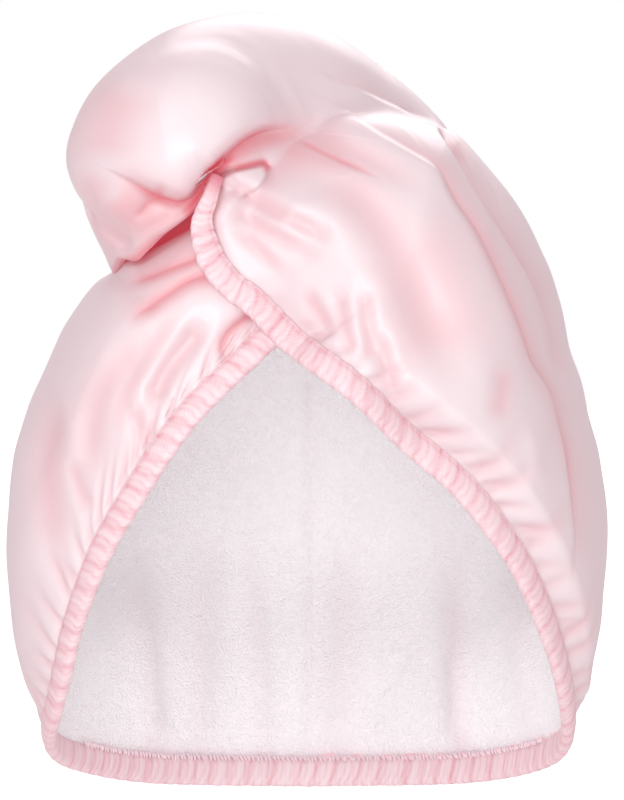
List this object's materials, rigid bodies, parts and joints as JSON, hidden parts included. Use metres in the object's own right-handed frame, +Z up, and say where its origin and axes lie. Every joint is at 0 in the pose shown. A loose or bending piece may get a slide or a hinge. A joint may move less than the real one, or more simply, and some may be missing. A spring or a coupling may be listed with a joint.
{
  "type": "hair turban towel",
  "caption": "Satin hair wrap with a terry lining, a gathered elastic edge round a tall arched face opening, and a twisted tail rolled back over the crown.",
  "frame": {"origin": "head seat: the inside of the lining at the top of the crown, where the top of the head bears", "axes": "+Z up; the face opening looks along -Y; +X is on the right in a front view, which is the wearer's left"},
  "size_m": [0.201, 0.2272, 0.2594],
  "materials": {
    "satin": "satin",
    "band": "satin",
    "terry": "matte",
    "button": "gloss"
  },
  "bodies": {
    "root": {"shell_right": "satin", "shell_left": "satin", "lining_right": "terry", "lining_left": "terry", "elastic_casing": "band", "tail_roll": "satin", "tail_button": "button"}
  },
  "joints": []
}
